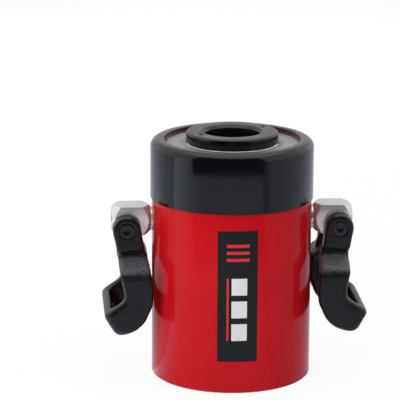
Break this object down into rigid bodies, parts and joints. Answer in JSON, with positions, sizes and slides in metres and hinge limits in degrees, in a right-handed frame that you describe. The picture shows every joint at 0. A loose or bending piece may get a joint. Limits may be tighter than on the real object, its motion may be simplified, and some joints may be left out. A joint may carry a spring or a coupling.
{
  "type": "hollow plunger hydraulic cylinder",
  "caption": "Single-acting hollow plunger hydraulic cylinder with a threaded saddle, spring return, thread protector, oil coupler and swivel lifting bails.",
  "frame": {"origin": "centre of the base face, on the axis of the centre hole", "axes": "+Z along the plunger towards the saddle, +X out through the right lifting ring, -Y towards the label side, +Y towards the oil coupler"},
  "size_m": [0.2619, 0.2127, 0.247],
  "materials": {
    "red_paint": "gloss red enamel",
    "gloss_black": "gloss black",
    "black_oxide": "oiled black oxide",
    "grey_steel": "phosphated grey",
    "hard_chrome": "ground and hard chromed",
    "plated_steel": "satin nickel plate",
    "forged_black": "forged, satin black",
    "spring_steel": "oil tempered",
    "bronze": "turned bronze",
    "seal_rubber": "moulded",
    "cap_rubber": "moulded, matt"
  },
  "bodies": {
    "cylinder": {"cylinder_body": "red_paint", "centre_tube": "hard_chrome", "tube_o_ring": "seal_rubber", "stop_ring": "grey_steel", "rod_bearing": "bronze", "rod_wiper": "seal_rubber", "thread_protector": "gloss_black", "return_spring": "spring_steel", "swivel_bush_left": "plated_steel", "swivel_bush_right": "plated_steel", "swivel_bolt_left": "black_oxide", "swivel_bolt_right": "black_oxide", "coupler_nipple": "plated_steel", "coupler_body": "plated_steel", "check_spring": "spring_steel", "cap_strap": "cap_rubber"},
    "plunger": {"plunger": "hard_chrome", "saddle": "black_oxide", "piston_seal": "seal_rubber", "piston_wear_ring": "bronze", "tube_seal": "seal_rubber", "tube_bearing": "bronze"},
    "left_swivel": {"swivel_block_left": "plated_steel", "bail_screws_left": "black_oxide"},
    "right_swivel": {"swivel_block_right": "plated_steel", "bail_screws_right": "black_oxide"},
    "left_bail": {"bail_left": "forged_black"},
    "right_bail": {"bail_right": "forged_black"},
    "check_ball": {"check_ball": "hard_chrome"},
    "dust_cap": {"dust_cap": "cap_rubber"}
  },
  "joints": [
    {"name": "plunger_extend", "type": "slide", "parent": "cylinder", "child": "plunger", "axis": [0, 0, 1], "range_m": [0, 0.076], "stiffness_N_per_m": 6000, "springref_m": -0.03, "deforming": ["return_spring"]},
    {"name": "left_swivel_turn", "type": "hinge", "parent": "cylinder", "child": "left_swivel", "pos_m": [0, 0, 0.159], "axis": [-1, 0, 0], "range_deg": [-130, 130]},
    {"name": "right_swivel_turn", "type": "hinge", "parent": "cylinder", "child": "right_swivel", "pos_m": [0, 0, 0.159], "axis": [1, 0, 0], "range_deg": [-130, 130]},
    {"name": "left_bail_swing", "type": "hinge", "parent": "left_swivel", "child": "left_bail", "pos_m": [-0.10564, 0, 0.153], "axis": [0, 1, 0], "range_deg": [0, 165]},
    {"name": "right_bail_swing", "type": "hinge", "parent": "right_swivel", "child": "right_bail", "pos_m": [0.10564, 0, 0.153], "axis": [0, -1, 0], "range_deg": [-2.4, 165]},
    {"name": "check_ball_lift", "type": "slide", "parent": "cylinder", "child": "check_ball", "axis": [0, -1, 0], "range_m": [0, 0.002], "stiffness_N_per_m": 300, "springref_m": -0.003, "deforming": ["check_spring"]},
    {"name": "dust_cap_pull", "type": "slide", "parent": "cylinder", "child": "dust_cap", "axis": [0, 1, 0], "range_m": [0, 0.025]}
  ]
}
